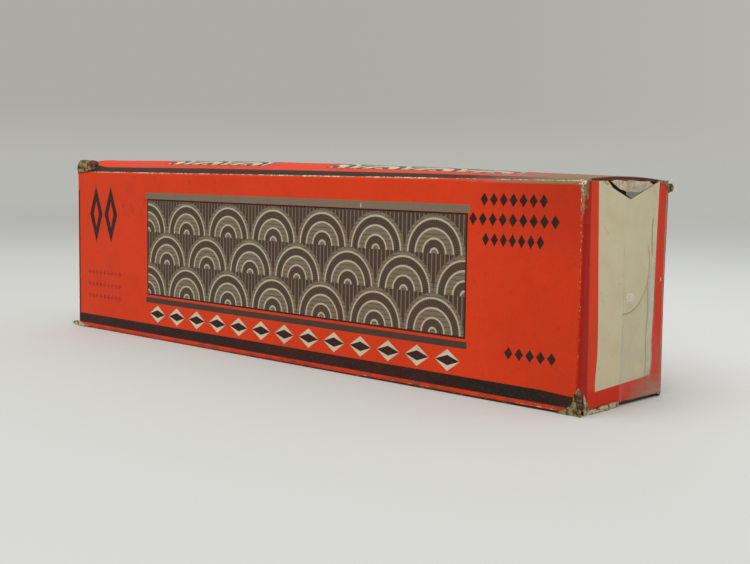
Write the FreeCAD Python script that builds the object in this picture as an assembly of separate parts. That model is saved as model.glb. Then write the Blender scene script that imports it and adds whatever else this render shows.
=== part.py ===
import FreeCAD, Part
import math
import os

# A tuck-end carton of thin printed board: a long, low folding box for one small-scale model.
# One end is taped shut. The other end opens: a closing flap with its tuck tongue, hinged on
# the front panel's upright fold, and two dust flaps, hinged on the top and bottom panels.
# Frame: +X runs along the length to the taped end, +Y from the front panel to the back
# panel, +Z up. The origin is under the middle of the box, on the surface that it stands on.
# All sizes are in millimetres, all angles in degrees.

# ---- driving sizes ----
LENGTH = 186.0              # outside, over both closing flaps
WIDTH = 34.0                # outside, front to back
HEIGHT = 49.0               # outside, from the lower folds to the upper folds
BOARD = 0.5                 # thickness of the board
FOLD_RADIUS = 0.9           # outside radius of the four long folds

# The top panel has bowed up, most where nothing holds it: rise over the folds at three places.
CROWN_PLAIN_END = 3.4
CROWN_MIDDLE = 3.1
CROWN_TAPED_END = 1.0
CROWN_MIDDLE_AT = 0.0       # place along the length of the middle rise

# ---- closing flaps ----
CREASE_GAP = 0.1            # from a panel to the flap's slab that folds beside it
FLAP_EDGE_GAP = 0.15        # from a closing flap's upper and lower edges to the long folds
TUCK_GAP = 0.3              # from a closing flap's far edge to the back panel's inner face
NOTCH_WIDTH = 19.0          # thumb notch in the closing flap's upper edge
NOTCH_DEPTH = 3.9

# ---- tuck tongues ----
TONGUE_REACH = 9.0          # from the closing flap's inner face to the tongue's tip
TONGUE_LEAN = 10.0          # lean away from the back panel
TONGUE_INSET = 2.5          # from the closing flap's edges to the tongue's sides
TONGUE_CORNER = 5.0         # radius of the tongue's two tip corners

# ---- dust flaps ----
DUST_GAP = 0.15             # from a closing flap's inner face to the dust flaps behind it
DUST_REACH = 15.0           # from a long panel's inner face to the dust flap's tip
DUST_FRONT_START = 2.8      # from the front face to the dust flap's crease
DUST_FRONT_SLANT = 28.5     # slant of the side beside the closing flap's hinge
DUST_BACK_START = 3.0       # from the back face to the dust flap's crease
DUST_BACK_SLANT = 4.0       # slant of the side beside the tongue
DUST_SLUMP = 12.0           # inward lean of the upper dust flap behind the taped end

# ---- glue flap ----
GLUE_FLAP_HEIGHT = 11.0
GLUE_FLAP_END_GAP = 12.5    # from each end face to the glue flap's long edge
GLUE_FLAP_TAPER = 4.0       # how much shorter its free edge is, at each end

# ---- clear tape ----
TAPE = 0.08                 # thickness of the film
TAPE_ON_END = 18.4          # run over the taped end, back from its cut end to the back fold
TAPE_ON_BACK = 22.0         # run along the back panel
TAPE_BELOW_TOP = 1.2        # from the upper folds to the tape's upper edge
TAPE_ABOVE_FLOOR = 0.9      # from the underside to the tape's lower edge

# ---- the box's faces, placed so that the origin is the middle of all that shows ----
PLAIN_FACE = -(LENGTH + TAPE) / 2
TAPED_FACE = PLAIN_FACE + LENGTH
FRONT_FACE = -(WIDTH + TAPE) / 2
BACK_FACE = FRONT_FACE + WIDTH
UNDERSIDE = 0.0
TOP_FOLD = UNDERSIDE + HEIGHT

# ---- creases, and the edges that pieces share ----
PLAIN_CREASE = PLAIN_FACE + BOARD + DUST_GAP
TAPED_CREASE = TAPED_FACE - BOARD - DUST_GAP
BACK_INNER = BACK_FACE - BOARD
FLAP_FRONT = FRONT_FACE + BOARD + CREASE_GAP
FLAP_BACK = BACK_INNER - TUCK_GAP
FLAP_LOW = UNDERSIDE + FOLD_RADIUS + FLAP_EDGE_GAP
FLAP_HIGH = TOP_FOLD - FOLD_RADIUS - FLAP_EDGE_GAP
PANEL_FRONT = FRONT_FACE + FOLD_RADIUS
PANEL_BACK = BACK_FACE - FOLD_RADIUS
TAPE_HEIGHTS = (UNDERSIDE + TAPE_ABOVE_FLOOR, TOP_FOLD - TAPE_BELOW_TOP)

X_AXIS = FreeCAD.Vector(1, 0, 0)
Y_AXIS = FreeCAD.Vector(0, 1, 0)


# ---- helpers ----
def slab(x_range, y_range, z_range):
    """A flat block between three pairs of planes."""
    low, high = zip(x_range, y_range, z_range)
    return Part.makeBox(high[0] - low[0], high[1] - low[1], high[2] - low[2], FreeCAD.Vector(*low))


def plate(corners, thickness):
    """A plate with straight sides, from its corners on one face and its thickness vector."""
    points = [FreeCAD.Vector(*corner) for corner in corners]
    return Part.Face(Part.makePolygon(points + points[:1])).extrude(FreeCAD.Vector(*thickness))


def crown_rise(y, crown):
    """Rise of the bowed top panel over its folds: an arc of a circle across the box."""
    half_span = (PANEL_BACK - PANEL_FRONT) / 2
    middle = (PANEL_BACK + PANEL_FRONT) / 2
    radius = (half_span ** 2 + crown ** 2) / (2 * crown)
    return crown - radius + math.sqrt(radius ** 2 - (y - middle) ** 2)


def crown_arc(x, y_start, y_end, fold_z, crown):
    """The bowed line across the box between two places, as one arc."""
    places = [y_start, (y_start + y_end) / 2, y_end]
    points = [FreeCAD.Vector(x, y, fold_z + crown_rise(y, crown)) for y in places]
    return Part.Arc(*points).toShape()


# ---- the carton's tube ----
def folded_side(outer_y, inward):
    """The front or back panel: an upright sheet with a quarter-round fold at each long edge."""
    inner_radius = FOLD_RADIUS - BOARD
    corner = math.sqrt(0.5)

    def section_point(depth, z):
        return FreeCAD.Vector(PLAIN_FACE, outer_y + inward * depth, z)

    def fold_arc(radius, centre_z, up):
        start = section_point(FOLD_RADIUS - radius, centre_z)
        middle = section_point(FOLD_RADIUS - radius * corner, centre_z + up * radius * corner)
        end = section_point(FOLD_RADIUS, centre_z + up * radius)
        return Part.Arc(start, middle, end).toShape()

    low_centre = UNDERSIDE + FOLD_RADIUS
    high_centre = TOP_FOLD - FOLD_RADIUS
    lines = [
        (section_point(0, low_centre), section_point(0, high_centre)),
        (section_point(BOARD, low_centre), section_point(BOARD, high_centre)),
        (section_point(FOLD_RADIUS, TOP_FOLD), section_point(FOLD_RADIUS, TOP_FOLD - BOARD)),
        (section_point(FOLD_RADIUS, UNDERSIDE), section_point(FOLD_RADIUS, UNDERSIDE + BOARD)),
    ]
    edges = [Part.LineSegment(start, end).toShape() for start, end in lines]
    for centre_z, up in ((low_centre, -1), (high_centre, 1)):
        edges += [fold_arc(radius, centre_z, up) for radius in (FOLD_RADIUS, inner_radius)]
    section = Part.Face(Part.Wire(Part.__sortEdges__(edges)))
    return section.extrude(X_AXIS * LENGTH)


def top_panel():
    """The top panel between its folds, bowed up more towards the plain end."""
    stations = [
        (PLAIN_CREASE, CROWN_PLAIN_END),
        (CROWN_MIDDLE_AT, CROWN_MIDDLE),
        (TAPED_CREASE, CROWN_TAPED_END),
    ]
    sections = []
    for x, crown in stations:
        upper = crown_arc(x, PANEL_FRONT, PANEL_BACK, TOP_FOLD, crown)
        lower = crown_arc(x, PANEL_FRONT, PANEL_BACK, TOP_FOLD - BOARD, crown)
        sides = [
            Part.makeLine((x, y, TOP_FOLD - BOARD), (x, y, TOP_FOLD))
            for y in (PANEL_FRONT, PANEL_BACK)
        ]
        sections.append(Part.Wire(Part.__sortEdges__([upper, lower] + sides)))
    return Part.makeLoft(sections, True, True)


def bottom_panel():
    """The flat bottom panel between its folds."""
    thickness = (UNDERSIDE, UNDERSIDE + BOARD)
    return slab((PLAIN_CREASE, TAPED_CREASE), (PANEL_FRONT, PANEL_BACK), thickness)


def glue_flap():
    """The flap that closes the tube, glued inside the back panel, with slanted ends."""
    low = UNDERSIDE + FOLD_RADIUS
    high = low + GLUE_FLAP_HEIGHT
    start = PLAIN_FACE + GLUE_FLAP_END_GAP
    end = TAPED_FACE - GLUE_FLAP_END_GAP
    corners = [
        (start, BACK_INNER, low),
        (end, BACK_INNER, low),
        (end - GLUE_FLAP_TAPER, BACK_INNER, high),
        (start + GLUE_FLAP_TAPER, BACK_INNER, high),
    ]
    return plate(corners, (0, -BOARD, 0))


# ---- the two ends ----
def closing_flap(face_x, inward):
    """The flap that closes an end, with the thumb notch in its upper edge."""
    middle = (FLAP_FRONT + FLAP_BACK) / 2
    corners = [
        (face_x, FLAP_FRONT, FLAP_LOW),
        (face_x, FLAP_BACK, FLAP_LOW),
        (face_x, FLAP_BACK, FLAP_HIGH),
        (face_x, middle + NOTCH_WIDTH / 2, FLAP_HIGH),
        (face_x, middle, FLAP_HIGH - NOTCH_DEPTH),
        (face_x, middle - NOTCH_WIDTH / 2, FLAP_HIGH),
        (face_x, FLAP_FRONT, FLAP_HIGH),
    ]
    return plate(corners, (inward * BOARD, 0, 0))


def tuck_tongue(face_x, inward):
    """The tongue that tucks in behind the back panel, leaning a little away from it."""
    lean = math.radians(TONGUE_LEAN)
    root_x = face_x + inward * BOARD
    low = FLAP_LOW + TONGUE_INSET
    high = FLAP_HIGH - TONGUE_INSET
    tip_x = root_x + inward * TONGUE_REACH * math.cos(lean)
    tip_y = FLAP_BACK - TONGUE_REACH * math.sin(lean)
    corners = [
        (root_x, FLAP_BACK, low),
        (tip_x, tip_y, low),
        (tip_x - inward * BOARD * math.sin(lean), tip_y - BOARD * math.cos(lean), low),
        (root_x, FLAP_BACK - BOARD / math.cos(lean), low),
    ]
    tongue = plate(corners, (0, 0, high - low))

    def crosses_tip(edge):
        ends = [vertex.Point for vertex in edge.Vertexes]
        reach = [abs(point.x - root_x) > TONGUE_REACH / 2 for point in ends]
        return all(reach) and abs(ends[0].z - ends[1].z) < BOARD / 2

    tip_edges = [edge for edge in tongue.Edges if crosses_tip(edge)]
    return tongue.makeFillet(TONGUE_CORNER, tip_edges)


def dust_flap(crease_x, inward, fold_z, into, crown):
    """A dust flap on the top (into = -1) or bottom panel (into = +1), square to its panel."""
    def side(start_y, slant, towards_middle):
        """The places where one side leaves the crease and where it meets the tip."""
        run = (DUST_REACH - BOARD - CREASE_GAP) * math.tan(math.radians(slant))
        return start_y, start_y + towards_middle * run

    front_crease, front_tip = side(FRONT_FACE + DUST_FRONT_START, DUST_FRONT_SLANT, 1)
    back_crease, back_tip = side(BACK_FACE - DUST_BACK_START, DUST_BACK_SLANT, -1)
    crease_z = fold_z + into * (BOARD + CREASE_GAP)
    tip_z = fold_z + into * DUST_REACH
    if crown:
        crease = crown_arc(crease_x, front_crease, back_crease, crease_z, crown)
    else:
        crease = Part.makeLine((crease_x, front_crease, crease_z), (crease_x, back_crease, crease_z))
    front_end, back_end = sorted((vertex.Point for vertex in crease.Vertexes), key=lambda p: p.y)
    sides = [
        Part.makeLine(front_end, (crease_x, front_tip, tip_z)),
        Part.makeLine((crease_x, front_tip, tip_z), (crease_x, back_tip, tip_z)),
        Part.makeLine((crease_x, back_tip, tip_z), back_end),
    ]
    outline = Part.Wire(Part.__sortEdges__([crease] + sides))
    return Part.Face(outline).extrude(X_AXIS * inward * BOARD)


def slumped(flap, crease_x, fold_z, crown, inward):
    """The same flap leaning inwards from the highest point of its crease's inner edge."""
    pivot = FreeCAD.Vector(crease_x + inward * BOARD, 0, fold_z - BOARD - CREASE_GAP + crown)
    return flap.rotated(pivot, Y_AXIS, inward * -DUST_SLUMP)


# ---- the tape on the taped end ----
def tape_over_end():
    """Film over the closing flap and the back panel's cut edge."""
    reach = (BACK_FACE - TAPE_ON_END, BACK_FACE + TAPE)
    return slab((TAPED_FACE, TAPED_FACE + TAPE), reach, TAPE_HEIGHTS)


def tape_over_back():
    """The same film turned round onto the back panel."""
    reach = (TAPED_FACE - TAPE_ON_BACK, TAPED_FACE)
    return slab(reach, (BACK_FACE, BACK_FACE + TAPE), TAPE_HEIGHTS)


# ---- all pieces ----
pieces = {
    "front_panel": folded_side(FRONT_FACE, 1),
    "back_panel": folded_side(BACK_FACE, -1),
    "top_panel": top_panel(),
    "bottom_panel": bottom_panel(),
    "glue_flap": glue_flap(),
    "tape_over_end": tape_over_end(),
    "tape_over_back": tape_over_back(),
}

ends = [
    ("plain_end", PLAIN_FACE, PLAIN_CREASE, 1, CROWN_PLAIN_END),
    ("taped_end", TAPED_FACE, TAPED_CREASE, -1, CROWN_TAPED_END),
]
for end, face_x, crease_x, inward, crown in ends:
    pieces[end + "_flap"] = closing_flap(face_x, inward)
    pieces[end + "_tongue"] = tuck_tongue(face_x, inward)
    pieces[end + "_upper_dust_flap"] = dust_flap(crease_x, inward, TOP_FOLD, -1, crown)
    pieces[end + "_lower_dust_flap"] = dust_flap(crease_x, inward, UNDERSIDE, 1, 0)

upper = pieces["taped_end_upper_dust_flap"]
pieces["taped_end_upper_dust_flap"] = slumped(upper, TAPED_CREASE, TOP_FOLD, CROWN_TAPED_END, -1)

os.makedirs("parts", exist_ok=True)
for name, shape in pieces.items():
    shape.exportStep("parts/" + name + ".step")
    print(f"{name:28s} valid {shape.isValid()}  solids {len(shape.Solids)}  volume {shape.Volume:9.2f}")
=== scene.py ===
import bpy
import bmesh
import math
from mathutils import Matrix, Vector


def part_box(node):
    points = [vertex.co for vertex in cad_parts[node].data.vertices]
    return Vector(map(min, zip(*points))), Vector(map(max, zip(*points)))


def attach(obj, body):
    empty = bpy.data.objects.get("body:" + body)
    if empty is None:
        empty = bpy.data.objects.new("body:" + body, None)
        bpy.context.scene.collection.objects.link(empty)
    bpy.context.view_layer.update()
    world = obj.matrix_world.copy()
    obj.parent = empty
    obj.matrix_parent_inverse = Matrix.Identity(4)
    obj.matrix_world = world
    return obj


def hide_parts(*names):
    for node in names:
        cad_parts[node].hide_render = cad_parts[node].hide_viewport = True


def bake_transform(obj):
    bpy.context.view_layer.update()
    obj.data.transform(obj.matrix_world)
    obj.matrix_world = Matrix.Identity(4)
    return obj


# An old tuck-end carton of thin board, printed orange-red with charcoal stripes, shut with clear
# tape at one end. Everything is in metres: +X to the taped end, +Y to the back, +Z up. Only the
# artwork, the wear and the torn layers are set out in millimetres, from the plain end's face, the
# front and the floor.

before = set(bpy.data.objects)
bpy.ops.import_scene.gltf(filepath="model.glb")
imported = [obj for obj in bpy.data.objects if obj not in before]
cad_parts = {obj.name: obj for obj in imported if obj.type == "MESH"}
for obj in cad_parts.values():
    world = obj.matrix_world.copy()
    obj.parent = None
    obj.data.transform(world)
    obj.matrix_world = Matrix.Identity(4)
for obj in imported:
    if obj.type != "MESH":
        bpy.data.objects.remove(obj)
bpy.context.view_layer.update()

MM = 0.001

# ---- the carton's faces and folds, from the solid parts ----
front_low, front_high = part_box("front_panel")
top_low, top_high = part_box("top_panel")
bottom_low, bottom_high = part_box("bottom_panel")
flap_low, flap_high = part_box("taped_end_flap")
tape_low, tape_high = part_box("tape_over_end")

PLAIN_FACE = front_low.x
TAPED_FACE = front_high.x
FRONT_FACE = front_low.y
BACK_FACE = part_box("back_panel")[1].y
UNDERSIDE = front_low.z
TOP_FOLD = front_high.z
BOARD = bottom_high.z - bottom_low.z
LONG_FOLD = front_high.y - front_low.y      # outside radius of the four long folds
PLAIN_CREASE = top_low.x
TAPED_CREASE = top_high.x
FLAP_LOW = flap_low.z
FLAP_HIGH = flap_high.z
FLAP_FRONT = flap_low.y
FLAP_BACK = flap_high.y
CENTRE = (PLAIN_FACE + TAPED_FACE) / 2      # middle of the carton's length
MIDDLE = (FRONT_FACE + BACK_FACE) / 2       # and of its width
HALF_SPAN = (top_high.y - top_low.y) / 2    # half the crowned part of the top panel

# ---- sizes of this model's own shapes ----
END_FOLD = FLAP_FRONT - FRONT_FACE          # outside radius of the upright folds at the ends
DUST_CREASE = 0.5 * MM                      # outside radius of the dust flaps' creases
FOLD_STRIP = LONG_FOLD - 0.75 * MM          # flat lead-in beside a long fold
FLAT_LEAD = 0.4 * MM                        # flat lead-in beside an upright fold
TUCK_FOLD = 0.55 * MM                       # outside radius of the fold between flap and tongue
DUST_FROM = FRONT_FACE + 2.8 * MM           # the dust flaps' creases run from here
DUST_TO = BACK_FACE - 3 * MM                # to here
DUST_REACH = 15 * MM                        # and the flaps reach this far over the end
PANEL_LEFT = PLAIN_CREASE + DUST_CREASE     # the long panels run from here to here between creases
PANEL_RIGHT = TAPED_CREASE - DUST_CREASE
CREASE_WALL = 0.3 * MM                      # the board is crushed thinner where it folds
FILM = tape_high.x - tape_low.x
TRIM = 0.05 * MM                            # bevel along the cut edges that show
LENGTH = (TAPED_FACE - PLAIN_FACE) / MM     # outside sizes in millimetres, for the finishes
WIDTH = (BACK_FACE - FRONT_FACE) / MM
HEIGHT = (TOP_FOLD - UNDERSIDE) / MM

# ---- how finely the sheets are ruled ----
LONG_COLUMNS = 124
FLAP_ROWS = 32
FOLD_STEPS = 8
CROWN_STEPS = 26
CREASE_COLUMNS = 20
CREASE_PITCH = (DUST_TO - DUST_FROM) / CREASE_COLUMNS
CREASE_LINES = [DUST_FROM + step * CREASE_PITCH for step in range(CREASE_COLUMNS + 1)]


# ================================ modelling by operators ================================

# The ways that a blank can face: its turn, and the axes along its columns and its rows.
FACING = {
    "front": ((90, 0, 0), "xz"),
    "back": ((90, 0, 180), "xz"),
    "taped end": ((90, 0, 90), "yz"),
    "plain end": ((90, 0, -90), "yz"),
    "up": ((0, 0, 0), "xy"),
    "down": ((180, 0, 0), "xy"),
}


def name_it(name):
    """Names the primitive that was just added, and its mesh."""
    piece = bpy.context.active_object
    piece.name = name
    piece.data.name = name
    return piece


def edit(piece):
    """Opens one piece for editing, as the only selected one and with nothing in it selected."""
    bpy.ops.object.select_all(action="DESELECT")
    piece.select_set(True)
    bpy.context.view_layer.objects.active = piece
    bpy.ops.object.mode_set(mode="EDIT")
    bpy.ops.mesh.select_all(action="DESELECT")


def done():
    """Closes the piece that is being edited."""
    bpy.ops.object.mode_set(mode="OBJECT")


def blank(name, corner, opposite, facing, columns=1, rows=1):
    """A flat blank of board from corner to corner, ruled into columns and rows, open for editing."""
    turn, (across, along) = FACING[facing]
    size = Vector(opposite) - Vector(corner)
    bpy.ops.object.select_all(action="DESELECT")
    bpy.ops.mesh.primitive_grid_add(
        x_subdivisions=columns,
        y_subdivisions=rows,
        size=1,
        location=Vector(corner) + size / 2,
        rotation=[math.radians(angle) for angle in turn],
    )
    piece = name_it(name)
    piece.scale = (abs(getattr(size, across)), abs(getattr(size, along)), 1)
    bpy.ops.object.transform_apply(location=True, rotation=True, scale=True)
    edit(piece)
    return piece


def middle_of(element):
    """The place of a vertex, or the middle of an edge or a face."""
    if isinstance(element, bmesh.types.BMVert):
        return element.co
    return sum((vertex.co for vertex in element.verts), Vector()) / len(element.verts)


def pick(kind, wanted, sharp_only=False):
    """Selects the vertices, edges or faces whose middle is wanted, and nothing else. With
    sharp_only, edges that bend less than 60 degrees are passed over."""
    bpy.ops.mesh.select_mode(type=kind)
    bpy.ops.mesh.select_all(action="DESELECT")
    mesh = bmesh.from_edit_mesh(bpy.context.edit_object.data)
    elements = {"VERT": mesh.verts, "EDGE": mesh.edges, "FACE": mesh.faces}[kind]
    for element in elements:
        if sharp_only and element.calc_face_angle(0) < math.radians(60):
            continue
        if wanted(middle_of(element)):
            element.select_set(True)
    mesh.select_flush_mode()
    bmesh.update_edit_mesh(bpy.context.edit_object.data)


def near(value, target, reach=0.02 * MM):
    """Whether a value lies within reach of a target."""
    return abs(value - target) < reach


def score(axis, places):
    """Rules straight lines across the whole piece, square to one axis."""
    direction = Vector([1 if name == axis else 0 for name in "xyz"])
    for place in places:
        bpy.ops.mesh.select_all(action="SELECT")
        bpy.ops.mesh.bisect(plane_co=direction * place, plane_no=direction, threshold=0.001 * MM)


def roll_edge(centre, axis, degrees, steps):
    """Rolls the picked edge round an axis, which makes a rounded fold."""
    bpy.ops.mesh.spin(steps=steps, angle=-math.radians(degrees), center=centre, axis=axis)


def pull_edge(run, steps=1):
    """Pulls the picked edge out into new board."""
    for _ in range(steps):
        bpy.ops.mesh.extrude_region_move(TRANSFORM_OT_translate={"value": Vector(run) / steps})


def shift(run):
    """Moves what is picked, and nothing else."""
    bpy.ops.transform.translate(value=run)


def push(run, reach, falloff="SMOOTH"):
    """Pushes the picked points and, less and less, those within reach of them."""
    bpy.ops.transform.translate(
        value=run,
        use_proportional_edit=True,
        proportional_edit_falloff=falloff,
        proportional_size=reach,
    )


def weld():
    """Joins the doubles that rolling an edge leaves."""
    bpy.ops.mesh.select_all(action="SELECT")
    bpy.ops.mesh.remove_doubles(threshold=0.004 * MM)


def thicken(piece, outwards, thickness=BOARD, free=None, crisp=40):
    """Closes a shaped sheet, turns its faces outwards and gives it its thickness inwards, with a
    small bevel along the cut edges that are free. Its outer side takes finish 0, its inner side
    finish 1 and its cut edges finish 2. Bends of more than crisp degrees show as edges."""
    done()
    facing = sum((face.normal for face in piece.data.polygons), Vector())
    if facing.dot(Vector(outwards)) < 0:
        edit(piece)
        bpy.ops.mesh.select_all(action="SELECT")
        bpy.ops.mesh.flip_normals()
        done()
    for _ in range(3):
        piece.data.materials.append(None)
    wall = piece.modifiers.new("board", "SOLIDIFY")
    wall.thickness = thickness
    wall.offset = -1
    wall.material_offset = 1
    wall.material_offset_rim = 2
    bpy.ops.object.modifier_apply(modifier=wall.name)
    if free:
        edit(piece)
        pick("EDGE", free, sharp_only=True)
        bpy.ops.mesh.bevel(offset=TRIM, segments=1, affect="EDGES")
        done()
    bpy.ops.object.shade_smooth_by_angle(angle=math.radians(crisp))
    return piece


# ================================ the top panel's crown ================================

# Height of the bowed top panel over its folds, by distance from the plain end.
CROWN_IN_MM = ((0, 3.4), (60, 3.4), (100, 2.9), (136, 2.2), (163, 1.3), (186, 0.7))
CROWN = [(along * MM, height * MM) for along, height in CROWN_IN_MM]
HIGHEST_CROWN = CROWN[0][1]
CROWN_SLOPE = 2 * math.atan(HIGHEST_CROWN / HALF_SPAN)      # slope beside the folds where it is highest


def crown_at(x):
    """Height of the crown at one place along the carton."""
    along = x - PLAIN_FACE
    for (start, low), (end, high) in zip(CROWN, CROWN[1:]):
        if along <= end:
            share = max(0, (along - start) / (end - start))
            return low + (high - low) * share
    return CROWN[-1][1]


def crown_radius(crown):
    """Radius of the arc across the carton that rises to a crown."""
    return (HALF_SPAN ** 2 + crown ** 2) / (2 * crown)


def bow_line(z, crown):
    """Lifts the points at one height along a dust flap's crease onto the top panel's arc."""
    radius = crown_radius(crown)
    for y in CREASE_LINES:
        pick("VERT", lambda p: near(p.y, y) and near(p.z, z))
        shift((0, 0, crown - radius + math.sqrt(max(0, radius ** 2 - (y - MIDDLE) ** 2))))


# ================================ shapes of the board ================================

def at_ends(p):
    """Whether a place is on a cut end of the long panels, clear of the dust flaps' creases."""
    return not PLAIN_CREASE + TRIM < p.x < TAPED_CREASE - TRIM and not DUST_FROM <= p.y <= DUST_TO


def fold_strip(name, fold_z, start_z):
    """The strip of the front beside a long fold, with the edge at the fold picked."""
    corner = (PANEL_LEFT, FRONT_FACE, start_z)
    panel = blank(name, corner, (PANEL_RIGHT, FRONT_FACE, fold_z), "front", LONG_COLUMNS)
    pick("EDGE", lambda p: near(p.z, fold_z))
    return panel


def reach_ends():
    """Carries a long panel and its folds out to the ends, round the dust flaps' creases."""
    for end_x, crease_x, face_x in (
        (PANEL_LEFT, PLAIN_CREASE, PLAIN_FACE),
        (PANEL_RIGHT, TAPED_CREASE, TAPED_FACE),
    ):
        pick("EDGE", lambda p: near(p.x, end_x) and not DUST_FROM < p.y < DUST_TO)
        pull_edge((crease_x - end_x, 0, 0))
        pick("EDGE", lambda p: near(p.x, crease_x) and not top_low.y <= p.y <= top_high.y)
        pull_edge((face_x - crease_x, 0, 0))


def make_top_panel():
    """The top panel with both its long folds: rolled over each fold and bowed up between them."""
    fold_z = TOP_FOLD - LONG_FOLD
    fold_turn = 90 - math.degrees(CROWN_SLOPE)
    highest = TOP_FOLD + HIGHEST_CROWN
    panel = fold_strip("top_panel_board", fold_z, fold_z - FOLD_STRIP)
    roll_edge((0, FRONT_FACE + LONG_FOLD, fold_z), (-1, 0, 0), fold_turn, FOLD_STEPS)
    crown_centre = (0, MIDDLE, highest - crown_radius(HIGHEST_CROWN))
    roll_edge(crown_centre, (-1, 0, 0), 2 * math.degrees(CROWN_SLOPE), CROWN_STEPS)
    roll_edge((0, BACK_FACE - LONG_FOLD, fold_z), (-1, 0, 0), fold_turn, FOLD_STEPS)
    pull_edge((0, 0, -FOLD_STRIP))
    weld()

    # It is rolled to the highest crown all along, and then pressed down to its own height.
    shoulder = fold_z + LONG_FOLD * math.cos(CROWN_SLOPE)
    columns = sorted({round(vertex.co.x, 6) for vertex in bmesh.from_edit_mesh(panel.data).verts})
    for x in columns:
        pick("VERT", lambda p: near(p.x, x) and p.z > shoulder + 0.01 * MM)
        squeeze = (TOP_FOLD + crown_at(x) - shoulder) / (highest - shoulder)
        bpy.ops.transform.resize(value=(1, 1, squeeze), center_override=(x, MIDDLE, shoulder))
    reach_ends()

    # The worn front corner at the plain end stands up a little, while the fold beside it stays.
    fold_band = 1.4 * MM
    corner_back = 6 * MM
    lift = 0.9 * MM
    pick("VERT", lambda p: p.y < FRONT_FACE + fold_band)
    bpy.ops.mesh.hide(unselected=False)
    pick("VERT", lambda p: p.x < PANEL_LEFT + 2 * MM and near(p.y, FRONT_FACE + corner_back, 1 * MM))
    push((0, 0, lift), reach=9 * MM)
    bpy.ops.mesh.reveal(select=False)
    return thicken(panel, (0, 0, 1), free=at_ends)


def make_bottom_panel():
    """The flat bottom panel with both its long folds."""
    fold_z = UNDERSIDE + LONG_FOLD
    panel = fold_strip("bottom_panel_board", fold_z, fold_z + FOLD_STRIP)
    roll_edge((0, FRONT_FACE + LONG_FOLD, fold_z), (1, 0, 0), 90, FOLD_STEPS)
    pull_edge((0, BACK_FACE - FRONT_FACE - 2 * LONG_FOLD, 0), CREASE_COLUMNS)
    roll_edge((0, BACK_FACE - LONG_FOLD, fold_z), (1, 0, 0), 90, FOLD_STEPS)
    pull_edge((0, 0, FOLD_STRIP))
    weld()
    reach_ends()
    return thicken(panel, (0, 0, -1), free=at_ends)


def turn_corner(fold_x, side, steps):
    """Rolls a sheet of the front round the upright fold at one end, with a short lead beyond."""
    pick("EDGE", lambda p: near(p.x, fold_x))
    roll_edge((fold_x, FRONT_FACE + END_FOLD, 0), (0, 0, side), 90, steps)
    pull_edge((0, FLAT_LEAD, 0))
    weld()


def make_front_panel():
    """The flat front panel, rolled round its upright fold at the taped end."""
    fold_x = TAPED_FACE - END_FOLD
    corner = (PLAIN_FACE + END_FOLD + FLAT_LEAD, FRONT_FACE, FLAP_LOW)
    opposite = (fold_x, FRONT_FACE, FLAP_HIGH)
    panel = blank("front_panel_board", corner, opposite, "front", LONG_COLUMNS, FLAP_ROWS)
    turn_corner(fold_x, 1, FOLD_STEPS)
    return thicken(panel, (0, -1, 0))


def make_back_panel():
    """The flat back panel, cut square at both ends, where it has sunk in a little."""
    sunk = 0.35 * MM
    sunk_z = 24 * MM
    corner = (PLAIN_FACE, BACK_FACE, FLAP_LOW)
    opposite = (TAPED_FACE, BACK_FACE, FLAP_HIGH)
    panel = blank("back_panel_board", corner, opposite, "back", LONG_COLUMNS, FLAP_ROWS)
    for x in (PLAIN_FACE, TAPED_FACE):
        pick("VERT", lambda p: near(p.x, x) and near(p.z, sunk_z, 1 * MM))
        push((0, -sunk, 0), reach=22 * MM)
    return thicken(panel, (0, 1, 0), free=lambda p: not PLAIN_FACE + TRIM < p.x < TAPED_FACE - TRIM)


def make_glue_flap():
    """The flap glued inside the back panel, with slanted ends."""
    taper = 4 * MM
    low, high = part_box("glue_flap")
    flap = blank("glue_flap_board", low, (high.x, low.y, high.z), "front", 60, 4)
    pick("VERT", lambda p: near(p.z, high.z))
    narrower = 1 - 2 * taper / (high.x - low.x)
    bpy.ops.transform.resize(value=(narrower, 1, 1), center_override=((low.x + high.x) / 2, 0, 0))
    return thicken(flap, (0, -1, 0), free=lambda p: True)


def bulge_end(face_x):
    """Swells the sheet that is being shaped at the taped end a little."""
    bulge = 0.25 * MM
    middle = Vector((face_x, 0, 22 * MM))
    spot = 1.5 * MM
    pick("VERT", lambda p: near(p.x, middle.x) and near(p.y, middle.y, spot) and near(p.z, middle.z, spot))
    push((bulge, 0, 0), reach=13 * MM)


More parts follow.
